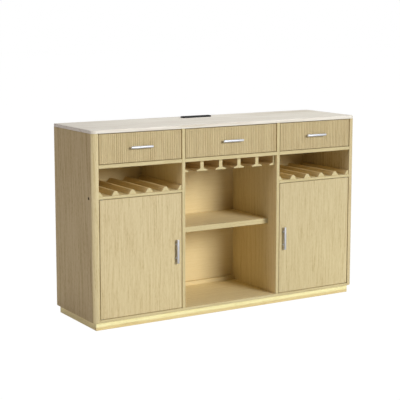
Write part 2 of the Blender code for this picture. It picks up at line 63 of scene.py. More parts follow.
def feedNode(tree, node, given):
    # sets a node's properties and inputs; a node that is given to an input is linked by its first output
    for key, value in given.items():
        if isinstance(value, bpy.types.Node):
            value = value.outputs[0]
        if isinstance(value, bpy.types.NodeSocket):
            tree.links.new(value, node.inputs[key])
        elif key == "stops":            # a colour ramp's stops: (place, hex colour)
            ramp = node.color_ramp.elements
            while len(ramp) < len(value):
                ramp.new(1.0)
            for stop, (place, hexCode) in zip(ramp, value):
                stop.position = place
                stop.color = linearColour(hexCode)
        elif str(key).islower():        # properties are in small letters, inputs are not
            setattr(node, key, value)
        else:
            node.inputs[key].default_value = value


def addNode(tree, kind, given=None):
    node = tree.nodes.new(kind)
    feedNode(tree, node, given or {})
    return node


def newMaterial(name, pattern, *look):
    # pattern adds its nodes and gives the shader's inputs
    material = bpy.data.materials.new(name)
    material.use_nodes = True
    tree = material.node_tree
    place = addNode(tree, "ShaderNodeTexCoord").outputs["Object"]
    feedNode(tree, tree.nodes["Principled BSDF"], pattern(tree, place, *look))
    return material


# Limed oak veneer under matt lacquer: pale straw body, fine upright streaks, faint growth rings that arch
# where the leaf was cut flat, and short dark pores along the grain. Satin, with no wet shine.
oakLook = dict(                  # sizes are across, across and along the grain
    ringWidth=9.0 * mm,
    ringLean=2.2,                # degrees between the trunk's axis and the face, which draws the arches
    wander=14 * mm,              # how far the rings drift to each side
    wanderSize=(0.16, 0.16, 0.70),
    streakSize=(6.0 * mm, 6.0 * mm, 0.30),       # coarser than the real 1.5 mm, to show in the render
    poreSize=(2.4 * mm, 2.4 * mm, 18 * mm),      # coarser than the real 0.3 mm, to show in the render
    poreDepth=0.10 * mm,
    shares=(0.10, 1.40, 0.80),   # how much rings, streaks and pores each add to the figure
    stops=(0.20, 0.50, 0.76, 1.0),               # where the four tones stand in the figure
    roughLow=0.56,
    roughSpread=0.20,            # how much rougher the pores are than the wood between them
    specular=0.35,
)
grainTurns = dict(               # turns the way the grain runs on to the pattern's own Z
    x=Matrix.Rotation(-math.pi / 2, 3, "Y"),
    y=Matrix.Rotation(math.pi / 2, 3, "X"),
    z=Matrix.Identity(3),
)
oakTones = dict(                 # from pale to dark: early wood, body, late wood, pore
    front="D1C197 CBBA8F C2AF83 AD996C",
    # painted light: paler tones for the doors' foot, blended in towards the bottom
    frontFoot="D8C89C D2C194 C9B688 B49F71",
    second="CEBF95 C8B88D BFAD81 AB976A",
    secondFoot="D5C69A CFBF92 C6B486 B19D6F",
    # painted light and shade: the rounded fronts of the sides take paler lit tones, the left one the palest,
    # while the flat side faces take a darker, browner tone that is painted shade
    post="D6C79A D3C396 CDBD8F C3B181",
    rightPost="CEBE93 CBBA8F C5B388 BBA77A",
    lipping="D2C497 CCBD8F C3B383 AF9E6E",
    side="CCBA91 C6B389 BEA97D AA9466",
    reeded="CEBE92 C6B48A BBA87D A69064",
    # painted light: the tones for the inside of the bays, the centre shelf and the decks are paler copies of
    # the oak, lifting the shade inside and lighting the tops
    inner="E1CE9D DBC694 D2BC88 BFA671",
    rail="E7D09C E1C893 D8BE87 C5A870",
    # painted shade: the stemware rails' tone is darker, for the shade under the drawer deck; their end faces
    # keep the lighter front tone
    rack="C9AF80 C2A676 B99B6A A58656",
    centreShelf="F6E7B8 F3E0B0 EAD6A4 D8C18C",
    shelf="F0E1B2 ECDAAA E3D09E D1BB86",
    # painted light: the two palest tones, for the plinth, stand in for the bright light on it; the foot tone
    # is the plinth's plain oak
    sapwood="F6F0BE F3ECB6 EBE2A9 DACD90",
    foot="E3D099 DECA92 D5BE86 C2A770",
    returnEnd="F9EFBB F6EAB3 EEDFA6 DDCB8E",
)


def limedOak(tree, place, tone, grain, heart, figureShare=1.0, band=None, reedShare=0.0):
    # band is (axis, limit, tone, softness): below the limit on that axis the board shows the other tone
    look = oakLook
    turn = (Matrix.Rotation(math.radians(look["ringLean"]), 3, "X") @ grainTurns[grain]).to_euler()
    log = addNode(tree, "ShaderNodeMapping", {"Vector": place, "Rotation": turn, "Location": heart})
    slow = addNode(tree, "ShaderNodeMapping", {
        "Vector": log, "Scale": [1 / size for size in look["wanderSize"]],
    })
    drift = addNode(tree, "ShaderNodeTexNoise", {"Vector": slow, "Scale": 1.0, "Detail": 2.0})
    bent = addNode(tree, "ShaderNodeVectorMath", {
        "operation": "MULTIPLY_ADD", 0: drift.outputs["Color"], 2: log,
        1: (2 * look["wander"], 2 * look["wander"], 0.0),
    })
    layers = [addNode(tree, "ShaderNodeTexWave", {
        "wave_type": "RINGS", "rings_direction": "Z", "wave_profile": "SAW",
        "Vector": bent, "Scale": math.pi / 10 / look["ringWidth"], "Distortion": 0.0,
    })]
    for source, sizes, detail, roughness in (
        (bent, look["streakSize"], 3.0, 0.55), (log, look["poreSize"], 2.0, 0.5),
    ):
        fitted = addNode(tree, "ShaderNodeMapping", {
            "Vector": source, "Scale": [1 / size for size in sizes],
        })
        layers.append(addNode(tree, "ShaderNodeTexNoise", {
            "Vector": fitted, "Scale": 1.0, "Detail": detail, "Roughness": roughness,
        }))
    pores = layers[-1]
    # rings, streaks and pores add up round the body's tone at 0.5, and a reed's own tone moves them
    shares = [share * figureShare for share in look["shares"]]
    level = 0.5 - sum(shares) / 2
    if reedShare:
        layers.append(addNode(tree, "ShaderNodeAttribute", {"attribute_name": "reedTone"}))
        shares.append(reedShare)
    for layer, share in zip(layers, shares):
        level = addNode(tree, "ShaderNodeMath", {
            "operation": "MULTIPLY_ADD", 0: layer.outputs["Fac"], 1: share, 2: level,
        })
    colour, *others = [addNode(tree, "ShaderNodeValToRGB", {
        "stops": list(zip(look["stops"], oakTones[kind].split())), "Fac": level,
    }) for kind in ((tone, band[2]) if band else (tone,))]
    if band:
        axis, limit, softness = band[0], band[1], band[3]
        axes = addNode(tree, "ShaderNodeSeparateXYZ", {0: place})
        below = addNode(tree, "ShaderNodeMapRange", {
            "interpolation_type": "SMOOTHSTEP", "Value": axes.outputs[axis], "To Min": 1.0, "To Max": 0.0,
            "From Min": limit - softness / 2, "From Max": limit + softness / 2,
        })
        colour = addNode(tree, "ShaderNodeMix", {
            "data_type": "RGBA", 0: below, 6: colour, 7: others[0],
        }).outputs[2]
    sheen = addNode(tree, "ShaderNodeMath", {
        "operation": "MULTIPLY_ADD", 0: pores, 1: look["roughSpread"], 2: look["roughLow"],
    })
    bump = addNode(tree, "ShaderNodeBump", {
        "invert": True, "Strength": 0.5, "Distance": look["poreDepth"], "Height": pores,
    })
    return {
        "IOR": 1.5, "Specular IOR Level": look["specular"],
        "Base Color": colour, "Roughness": sheen, "Normal": bump,
    }


# Sintered stone, honed: warm white body with long grey and beige streaks along the slab, and a soft shine.
stoneLook = dict(
    streakSize=(0.75, 34 * mm, 34 * mm),
    threadSize=(0.30, 4.0 * mm, 4.0 * mm),       # coarser than the real 1 mm, to show in the render
    threadShare=0.45,
    roughLow=0.42,
    roughSpread=0.16,
)


def honedStone(tree, place):
    look = stoneLook
    patterns = []
    for sizes, detail, roughness, distortion in (
        (look["streakSize"], 5.0, 0.62, 0.5), (look["threadSize"], 3.0, 0.5, 0.0),
    ):
        fitted = addNode(tree, "ShaderNodeMapping", {"Vector": place, "Scale": [1 / size for size in sizes]})
        patterns.append(addNode(tree, "ShaderNodeTexNoise", {
            "Vector": fitted, "Scale": 1.0, "Detail": detail, "Roughness": roughness,
            "Distortion": distortion,
        }))
    streak, thread = patterns
    mixed = addNode(tree, "ShaderNodeMath", {
        "operation": "MULTIPLY_ADD", 0: thread, 1: look["threadShare"], 2: streak,
    })
    colour = addNode(tree, "ShaderNodeValToRGB", {
        "stops": [(0.48, "CCC2AF"), (0.62, "DCD5C6"), (0.74, "E8E3D7"), (0.88, "D6CDBF"), (1.0, "C4B9AA")],
        "Fac": mixed,
    })
    gloss = addNode(tree, "ShaderNodeMath", {
        "operation": "MULTIPLY_ADD", 0: thread, 1: look["roughSpread"], 2: look["roughLow"],
    })
    return {"IOR": 1.52, "Base Color": colour, "Roughness": gloss}


# Birch plywood, sanded and sealed: creamy face with faint curl, and dark and pale plies on the cut edge.
plywoodLook = dict(halfPlies=10, curlSize=(0.25, 0.25, 22 * mm), roughness=0.58)


def birchPlywood(tree, place):
    look = plywoodLook
    curl = addNode(tree, "ShaderNodeMapping", {
        "Vector": place, "Scale": [1 / size for size in look["curlSize"]],
    })
    grain = addNode(tree, "ShaderNodeTexNoise", {
        "Vector": curl, "Scale": 1.0, "Detail": 4.0, "Roughness": 0.6,
    })
    face = addNode(tree, "ShaderNodeValToRGB", {
        "stops": [(0.30, "E6D6B2"), (0.52, "DCCAA2"), (0.75, "CDB88C")], "Fac": grain,
    })
    depth = addNode(tree, "ShaderNodeAttribute", {"attribute_name": "plyDepth"})   # 0 to 1 across
    layer = addNode(tree, "ShaderNodeMath", {
        "operation": "PINGPONG", 0: depth.outputs["Fac"], 1: 1.0 / look["halfPlies"],
    })
    band = addNode(tree, "ShaderNodeMath", {
        "operation": "GREATER_THAN", 0: layer, 1: 0.5 / look["halfPlies"],
    })
    colour = addNode(tree, "ShaderNodeMix", {
        "data_type": "RGBA", "blend_type": "MULTIPLY", 0: band, 6: face, 7: linearColour("C9B48C"),
    })
    return {"Roughness": look["roughness"], "IOR": 1.5, "Base Color": colour.outputs[2]}


# Plated metal: satin chrome on zinc, which shows a soft white band of light along a bar, and zinc on
# pressed steel, a cool grey, half bright, with cloudy patches from the plating bath.
chromeLook = dict(tints=[(0.0, "D3D6DC"), (1.0, "D3D6DC")], patch=3.0 * mm, detail=3.0, blur=0.5,
                  roughLow=0.50, roughSpread=0.08)
zincLook = dict(tints=[(0.30, "A3A6AA"), (0.70, "C2C5C8")], patch=14 * mm, detail=4.0, blur=0.6,
                roughLow=0.24, roughSpread=0.22)


def platedMetal(tree, place, tints, patch, detail, blur, low, spread):
    cloud = addNode(tree, "ShaderNodeTexNoise", {
        "Vector": place, "Scale": 1 / patch, "Detail": detail, "Roughness": blur,
    })
    colour = addNode(tree, "ShaderNodeValToRGB", {"stops": tints, "Fac": cloud})
    gloss = addNode(tree, "ShaderNodeMath", {"operation": "MULTIPLY_ADD", 0: cloud, 1: spread, 2: low})
    return {"Metallic": 1.0, "Base Color": colour, "Roughness": gloss}


# Moulded ABS with a spark-eroded texture, and black oxide on steel: near black, a grainy half sheen.
# The grit is coarser than the real 0.1 mm, to show in the render.
blackLook = dict(gritSize=0.8 * mm, gritDepth=0.05 * mm, gritTint="D8D8D6", roughSpread=0.16, specular=0.22)


def grainyBlack(tree, place, hexCode, roughLow):
    size, depth, gritTint, spread, specular = blackLook.values()
    grit = addNode(tree, "ShaderNodeTexNoise", {"Vector": place, "Scale": 1 / size, "Detail": 2.0})
    tint = addNode(tree, "ShaderNodeMix", {
        "data_type": "RGBA", "blend_type": "MULTIPLY",
        0: grit, 6: linearColour(hexCode), 7: linearColour(gritTint),
    })
    gloss = addNode(tree, "ShaderNodeMath", {"operation": "MULTIPLY_ADD", 0: grit, 1: spread, 2: roughLow})
    bump = addNode(tree, "ShaderNodeBump", {"Strength": 0.25, "Distance": depth, "Height": grit})
    return {
        "IOR": 1.54, "Specular IOR Level": specular,
        "Base Color": tint.outputs[2], "Roughness": gloss, "Normal": bump,
    }


cornerRound = dict(radius=31 * mm, sweep=60, ease=1.5 * mm, steps=20)   # front of the sides and the top
postDepth = cornerRound["radius"] * (1 - math.cos(math.radians(cornerRound["sweep"])))
line = 0.2 * mm                                       # a glue line between two woods
stripDeep, endDeep = 1.5 * mm, 0.8 * mm               # a board's solid front strip, a rail's end grain
# behind the front strip a board shows its inside tone, which is painted light
lipping = ("Y", frontEdge + stripDeep, "lipping", line)
shelfStrip = ("Y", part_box("centre_shelf")[0].y + stripDeep, "lipping", line)
bottleEnds = ("Y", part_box("left_bottle_rail_2")[0].y + endDeep, "lipping", line)
stemEnds = ("Y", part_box("stemware_rail_2")[0].y + endDeep, "lipping", line)
leftPost = ("Y", frontEdge + postDepth, "post", line)            # rounded front of a side panel in a paler lit tone; the flat side behind it is painted in shade
rightPost = ("Y", frontEdge + postDepth, "rightPost", line)
leftDoorFootLight = ("Z", 0.33, "frontFoot", 0.60)            # painted light: the door veneers are paler towards the foot, to cancel the light's fall-off lower down
rightDoorFootLight = ("Z", 0.33, "secondFoot", 0.60)
plinthGlowBand = ("Z", 15 * mm, "foot", 12 * mm)           # painted light: above this height the plinth's front and back take a very pale tone, for the bright light along the plinth's top; below it the plain oak of the foot
oakBoards = dict(                # tone, grain, the log's heart, share of figure, band, share of reeds
    leftDoor=("front", "z", (0.470, 0.235, 0.0), 1.15, leftDoorFootLight),
    rightDoor=("second", "z", (-0.500, 0.232, 0.31), 1.1, rightDoorFootLight),
    leftSide=("side", "z", (0.78, 0.05, 0.6), 2.0, leftPost),
    rightSide=("side", "z", (-0.66, -0.02, 1.4), 2.0, rightPost),
    dividers=("inner", "z", (0.31, 0.07, 2.1), 1.0, lipping),
    decks=("shelf", "x", (0.45, 0.09, 0.9), 1.0, lipping),
    shelves=("centreShelf", "x", (0.30, 0.05, 1.7), 1.0, shelfStrip),
    back=("inner", "x", (0.36, -0.13, 2.6), 0.35),
    reeds=("reeded", "z", (0.12, 0.26, 3.3), 0.75, None, 0.25),
    bottleRails=("rail", "y", (0.21, 0.62, 0.4), 1.0, bottleEnds),
    stemRails=("rack", "y", (0.27, 0.48, 1.9), 1.0, stemEnds),
    # painted light on the plinth: a pale band along the long boards, and the ends painted nearly white
    plinthLong=("sapwood", "x", (0.06, 0.21, 1.1), 1.0, plinthGlowBand),
    plinthEnds=("returnEnd", "y", (0.70, 0.03, 0.2)),
)
finishes = {key: newMaterial("limedOak" + key[0].upper() + key[1:], limedOak, *board)
            for key, board in oakBoards.items()}
finishes.update(
    plywood=newMaterial("birchPlywood", birchPlywood),
    stone=newMaterial("honedSinteredStone", honedStone),
    chrome=newMaterial("satinChrome", platedMetal, *chromeLook.values()),
    zinc=newMaterial("zincPlatedSteel", platedMetal, *zincLook.values()),
    abs=newMaterial("mouldedBlackAbs", grainyBlack, "0A0A0A", 0.38),
    blackSteel=newMaterial("blackOxideSteel", grainyBlack, "0E0D0E", 0.42),
)
print("materials made:", len(finishes))


# Meshes

def linkObject(name, data):
    item = bpy.data.objects.new(name, data)
    bpy.context.scene.collection.objects.link(item)
    return item


def plainMesh(host):
    # the finished mesh of a host, which then goes with its modifiers
    mesh = bpy.data.meshes.new_from_object(host.evaluated_get(bpy.context.evaluated_depsgraph_get()))
    bpy.data.objects.remove(host)
    return mesh


def middleOf(node):
    low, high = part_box(node)
    return (low + high) / 2


def meshFrom(shape, material):
    mesh = bpy.data.meshes.new("shape")
    shape.to_mesh(mesh)
    shape.free()
    mesh.materials.append(material)
    return mesh


def boardMesh(low, high, finish, edge, edgeSteps=2):
    shape = bmesh.new()
    low, high = Vector(low), Vector(high)
    placed = Matrix.Translation((low + high) / 2) @ Matrix.Diagonal((*(high - low), 1.0))
    bmesh.ops.create_cube(shape, size=1.0, matrix=placed)
    bmesh.ops.bevel(shape, geom=shape.edges[:], offset=edge, segments=edgeSteps, profile=0.5,
                    affect="EDGES")
    return meshFrom(shape, finishes[finish])


def roundedOutline(corners, quarterSteps):
    # (u, v, radius) corners become an outline with an arc at each corner that has a radius
    outline = []
    for index, (u, v, radius) in enumerate(corners):
        corner = Vector((u, v))
        if radius <= 0:
            outline.append(corner)
            continue
        before = (Vector(corners[index - 1][:2]) - corner).normalized()
        after = (Vector(corners[(index + 1) % len(corners)][:2]) - corner).normalized()
        half = before.angle(after) / 2
        middle = corner + (before + after).normalized() * radius / math.sin(half)
        first = corner + before * radius / math.tan(half) - middle
        last = corner + after * radius / math.tan(half) - middle
        sweep = first.angle_signed(last)
        steps = max(2, round(quarterSteps * abs(sweep) / (math.pi / 2)))
        outline += [middle + Matrix.Rotation(-sweep * step / steps, 2) @ first for step in range(steps + 1)]
    return outline


def roundedRect(u, v, halfU, halfV, radius, quarterSteps):
    return roundedOutline([(u + a * halfU, v + b * halfV, radius)
                           for a, b in ((-1, -1), (1, -1), (1, 1), (-1, 1))], quarterSteps)


def frontCorner(outerX, frontY, inward):
    # the shallow round from a side face on to the front, with a small ease where it leaves the side
    radius, degrees, ease, steps = cornerRound.values()
    sweep = math.radians(degrees)
    return [(outerX + inward * radius * (math.sin(sweep) - math.sin(turn)),
             frontY + radius * (1 - math.cos(turn)), ease if turn == sweep else 0.0)
            for turn in [sweep * (1 - step / steps) for step in range(steps + 1)]]


def plateMesh(outlines, along, start, end, finish, edge=0.0, edgeSteps=2):
    # flat outlines made solid, with a round of size edge on both rims; later outlines are holes
    curve = bpy.data.curves.new("plate", "CURVE")
    curve.dimensions = "2D"
    curve.fill_mode = "BOTH"
    curve.extrude = (end - start) / 2 - edge
    curve.bevel_depth = edge
    curve.offset = -edge
    curve.bevel_resolution = edgeSteps
    for outline in outlines:
        spline = curve.splines.new("POLY")
        spline.points.add(len(outline) - 1)
        for point, (u, v) in zip(spline.points, outline):
            point.co = (u, v, 0.0, 1.0)
        spline.use_cyclic_u = True
    mesh = plainMesh(linkObject("plate", curve))
    bpy.data.curves.remove(curve)
    turned = dict(
        x=Matrix(((0, 0, 1), (1, 0, 0), (0, 1, 0))).to_4x4(),
        y=Matrix.Rotation(math.pi / 2, 4, "X"),
        z=Matrix.Identity(4),
    )[along]
    middle = Vector([(start + end) / 2 if axis == along else 0.0 for axis in "xyz"])
    shape = bmesh.new()
    shape.from_mesh(mesh)
    bpy.data.meshes.remove(mesh)
    bmesh.ops.remove_doubles(shape, verts=shape.verts, dist=weld)
    bmesh.ops.transform(shape, matrix=Matrix.Translation(middle) @ turned, verts=shape.verts)
    return meshFrom(shape, finishes[finish])


def turnedMesh(profile, finish, along="z", place=(0.0, 0.0, 0.0), steps=32):
    # (radius, height) points turned about the given axis, from the lower end to the upper one
    shape = bmesh.new()
    points = [shape.verts.new((radius, 0.0, height)) for radius, height in profile]
    edges = [shape.edges.new(pair) for pair in zip(points, points[1:])]
    bmesh.ops.spin(shape, geom=points + edges, cent=(0, 0, 0), axis=(0, 0, 1), angle=math.tau, steps=steps,
                   use_merge=True)
    bmesh.ops.remove_doubles(shape, verts=shape.verts, dist=weld)
    bmesh.ops.recalc_face_normals(shape, faces=shape.faces)
    turn = dict(
        x=Matrix.Rotation(math.pi / 2, 4, "Y"),
        y=Matrix.Rotation(-math.pi / 2, 4, "X"),
        z=Matrix.Identity(4),
    )[along]
    bmesh.ops.transform(shape, matrix=Matrix.Translation(place) @ turn, verts=shape.verts)
    return meshFrom(shape, finishes[finish])


def pegMesh(radius, low, high, finish, along="z", place=(0.0, 0.0, 0.0), steps=32):
    return turnedMesh([(0.0, low), (radius, low), (radius, high), (0.0, high)], finish, along, place, steps)


def joinMeshes(meshes):
    # parts of one finish
    shape = bmesh.new()
    for mesh in meshes:
        shape.from_mesh(mesh)
    return meshFrom(shape, meshes[0].materials[0])


def cutMesh(mesh, cutters):
    target = linkObject("target", mesh)
    tools = [linkObject("tool", cutter) for cutter in cutters]
    for tool in tools:
        boolean = target.modifiers.new("cut", "BOOLEAN")
        boolean.operation = "DIFFERENCE"
        boolean.solver = "EXACT"
        boolean.object = tool
    made = plainMesh(target)
    for tool in tools:
        bpy.data.objects.remove(tool)
    return made


def addPiece(name, mesh, body, stands=(), smoothAngle=35):
    mesh.name = name
    mesh.shade_smooth()
    mesh.set_sharp_from_angle(angle=math.radians(smoothAngle))
    piece = linkObject(name, mesh)
    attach(piece, body)
    if stands:
        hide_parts(*stands)


def dressNodes(finish, *nodes):
    for node in nodes:
        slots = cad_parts[node].data.materials
        slots.clear()
        slots.append(finishes[finish])


# Geometry Nodes

def startTree(name, sockets):
    tree = bpy.data.node_groups.new(name, "GeometryNodeTree")
    tree.interface.new_socket("Geometry", in_out="OUTPUT", socket_type="NodeSocketGeometry")
    for label, kind in sockets.items():
        tree.interface.new_socket(label, in_out="INPUT", socket_type="NodeSocket" + kind)
    return tree, addNode(tree, "NodeGroupInput").outputs


def endTree(tree, instances, material):
    real = addNode(tree, "GeometryNodeRealizeInstances", {"Geometry": instances})
    dressed = addNode(tree, "GeometryNodeSetMaterial", {"Geometry": real, "Material": material})
    addNode(tree, "NodeGroupOutput", {"Geometry": dressed})
    return tree


def runTree(tree, values, hostMesh=None):
    host = linkObject(tree.name, hostMesh or bpy.data.meshes.new(tree.name))
    modifier = host.modifiers.new(tree.name, "NODES")
    modifier.node_group = tree
    for item in tree.interface.items_tree:
        if item.in_out == "INPUT" and item.name in values:
            modifier[item.identifier] = values[item.name]
    return plainMesh(host)


def makeReedTree():
    # a row of half-round reeds, each an arc filled, pushed up to its height and closed below
    tree, given = startTree("reedRow", {
        "Count": "Int", "Pitch": "Float", "Radius": "Float", "First Angle": "Float", "Sweep": "Float",
        "Arc Points": "Int", "Height": "Float", "Start": "Vector", "Seed": "Int", "Material": "Material",
    })
    arc = addNode(tree, "GeometryNodeCurveArc", {
        "mode": "RADIUS", "Resolution": given["Arc Points"], "Radius": given["Radius"],
        "Start Angle": given["First Angle"], "Sweep Angle": given["Sweep"],
    })
    ring = addNode(tree, "GeometryNodeSetSplineCyclic", {"Geometry": arc.outputs["Curve"], "Cyclic": True})
    end = addNode(tree, "GeometryNodeFillCurve", {"mode": "NGONS", "Curve": ring})
    reach = addNode(tree, "ShaderNodeCombineXYZ", {"Z": given["Height"]})
    raised = addNode(tree, "GeometryNodeExtrudeMesh", {
        "mode": "FACES", "Mesh": end, "Offset": reach, "Offset Scale": 1.0, "Individual": False,
    })
    under = addNode(tree, "GeometryNodeFlipFaces", {"Mesh": end})
    both = addNode(tree, "GeometryNodeJoinGeometry")
    for part in (raised, under):
        feedNode(tree, both, {0: part})
    reed = addNode(tree, "GeometryNodeMergeByDistance", {"Geometry": both, "Distance": weld})
    step = addNode(tree, "ShaderNodeCombineXYZ", {"X": given["Pitch"]})
    row = addNode(tree, "GeometryNodeMeshLine", {
        "mode": "OFFSET", "Count": given["Count"], "Start Location": given["Start"], "Offset": step,
    })
    copies = addNode(tree, "GeometryNodeInstanceOnPoints", {"Points": row, "Instance": reed})
    tone = addNode(tree, "FunctionNodeRandomValue", {
        "data_type": "FLOAT", 2: -0.5, 3: 0.5, "Seed": given["Seed"],
    })
    toned = addNode(tree, "GeometryNodeStoreNamedAttribute", {
        "data_type": "FLOAT", "domain": "INSTANCE", "Geometry": copies, "Name": "reedTone",
        "Value": tone.outputs[1],
    })
    return endTree(tree, toned, given["Material"])


def makePartTree():
    # a part on each point of the host mesh, its top facing one way, turned at random as far as Spin
    tree, given = startTree("partsAtPoints", {
        "Places": "Geometry", "Part": "Object", "Facing": "Vector", "Spin": "Float", "Seed": "Int",
        "Material": "Material",
    })
    part = addNode(tree, "GeometryNodeObjectInfo", {"transform_space": "ORIGINAL", "Object": given["Part"]})
    spin = addNode(tree, "FunctionNodeRandomValue", {
        "data_type": "FLOAT", 2: 0.0, 3: given["Spin"], "Seed": given["Seed"],
    })
    turn = addNode(tree, "FunctionNodeAxisAngleToRotation", {"Axis": (0, 0, 1), "Angle": spin.outputs[1]})
    faced = addNode(tree, "FunctionNodeAlignRotationToVector", {"axis": "Z", "Vector": given["Facing"]})
    both = addNode(tree, "FunctionNodeRotateRotation", {
        "rotation_space": "LOCAL", "Rotation": faced, "Rotate By": turn,
    })
    copies = addNode(tree, "GeometryNodeInstanceOnPoints", {
        "Points": given["Places"], "Instance": part.outputs["Geometry"], "Rotation": both,
    })
    return endTree(tree, copies, given["Material"])


reedTree = makeReedTree()
partTree = makePartTree()


def partsAt(places, partMesh, finish, facing=(0.0, 0.0, 1.0), spin=0.0, seed=1):
    hostMesh = bpy.data.meshes.new("places")
    hostMesh.from_pydata(places, [], [])
    part = bpy.data.objects.new("part", partMesh)
    mesh = runTree(partTree, {
        "Part": part, "Facing": facing, "Spin": spin, "Seed": seed, "Material": finishes[finish],
    }, hostMesh)
    bpy.data.objects.remove(part)
    return mesh


# Camera at the photograph's angle
cameraView = dict(place=(-2.9222, -4.7051, 1.4144), yaw=31.313, pitch=-8.104, lens=104.26, sensor=36.0,
                  shiftY=-0.060)
place, yaw, pitch, lens, sensor, shiftY = cameraView.values()
cameraData = bpy.data.cameras.new("photoCamera")
cameraData.sensor_width = sensor
cameraData.lens = lens
cameraData.shift_y = shiftY
camera = linkObject("photoCamera", cameraData)
camera.location = place
camera.rotation_euler = (math.radians(90 + pitch), 0.0, math.radians(-yaw))
bpy.context.scene.camera = camera
bpy.context.scene.view_settings.view_transform = "Standard"

# Soft studio light: a wide key in front to the right, a weak fill to the left, and soft light over the top
lightRig = dict(                 # azimuth, elevation, distance, size, watts, tint
    key=(18.5, 19.0, 40.0, 17.0, 13600, "FFFFFF"),
    left=(-83.5, 17.0, 8.0, 2.2, 141, "FFF4F8"),
    top=(90.0, 74.0, 4.5, 3.2, 42, "FFFFFF"),
    rear=(150.0, 62.0, 5.0, 3.5, 131, "FFFFFF"),
)
lightTarget = Vector((0.0, 0.0, 0.42))
for name, (azimuth, elevation, distance, size, watts, tint) in lightRig.items():
    turn, rise = math.radians(azimuth), math.radians(elevation)
    flat = math.cos(rise)
    towards = Vector((math.sin(turn) * flat, -math.cos(turn) * flat, math.sin(rise)))
    lightData = bpy.data.lights.new(name, "AREA")
    lightData.shape = "DISK"
    lightData.size = size
    lightData.energy = watts
    lightData.color = linearColour(tint)[:3]
    light = linkObject(name, lightData)
    light.location = lightTarget + towards * distance
    light.rotation_euler = (-towards).to_track_quat("-Z", "Y").to_euler()

studio = dict(ambient=0.05, seen=1.0)      # light that the white room gives, and how white it looks
world = bpy.data.worlds.new("whiteRoom")
bpy.context.scene.world = world
world.use_nodes = True
worldTree = world.node_tree
seenPath = addNode(worldTree, "ShaderNodeLightPath")
roomStrength = addNode(worldTree, "ShaderNodeMath", {
    "operation": "MULTIPLY_ADD", 0: seenPath.outputs["Is Camera Ray"],
    1: studio["seen"] - studio["ambient"], 2: studio["ambient"],
})
feedNode(worldTree, worldTree.nodes["Background"], {
    "Color": linearColour("FFFFFF"), "Strength": roomStrength,
})

# Pale floor of matt seamless paper, burnt out to white as in a studio
floorLook = dict(size=60.0, paper="D6D5D3", roughness=0.95, white=1.03, burntOut=0.97)
floorSize, paperTint, paperRoughness, whiteGlow, burntOut = floorLook.values()


def mattPaper(tree, place):
    white = addNode(tree, "ShaderNodeEmission", {"Color": linearColour("FFFFFF"), "Strength": whiteGlow})
    path = addNode(tree, "ShaderNodeLightPath")
    share = addNode(tree, "ShaderNodeMath", {
        "operation": "MULTIPLY", 0: path.outputs["Is Camera Ray"], 1: burntOut,
    })
    burnt = addNode(tree, "ShaderNodeMixShader", {0: share, 1: tree.nodes["Principled BSDF"], 2: white})
    feedNode(tree, tree.nodes["Material Output"], {"Surface": burnt})
    return {"Base Color": linearColour(paperTint), "Roughness": paperRoughness}


floorShape = bmesh.new()
bmesh.ops.create_grid(floorShape, x_segments=1, y_segments=1, size=floorSize / 2)
floor = linkObject("studioFloor", meshFrom(floorShape, newMaterial("mattPaper", mattPaper)))
print("camera, lights and floor set")


# Stone top with round front corners, let in round the power module
topPiece = dict(edgeRound=2.0 * mm, rearEase=1.5 * mm, moduleLip=4 * mm, smoothAngle=25)
topLow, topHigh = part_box("top_panel")
moduleLow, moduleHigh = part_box("power_module")
moduleMiddle, moduleHalf = (moduleLow + moduleHigh) / 2, (moduleHigh - moduleLow) / 2
topOutline = roundedOutline([
    (topLow.x, topHigh.y, topPiece["rearEase"]),
    *frontCorner(topLow.x, topLow.y, 1),
    *reversed(frontCorner(topHigh.x, topLow.y, -1)),
    (topHigh.x, topHigh.y, topPiece["rearEase"]),
], cornerRound["steps"])
lip = topPiece["moduleLip"] - seat
moduleHole = roundedRect(moduleMiddle.x, moduleMiddle.y, moduleHalf.x - lip, moduleHalf.y - lip, 0.0, 1)
topMesh = plateMesh([topOutline, moduleHole], "z", topLow.z, topHigh.z, "stone", topPiece["edgeRound"],
                    edgeSteps=3)
addPiece("stoneTop", topMesh, "carcass", ["top_panel"], topPiece["smoothAngle"])
print("top made")


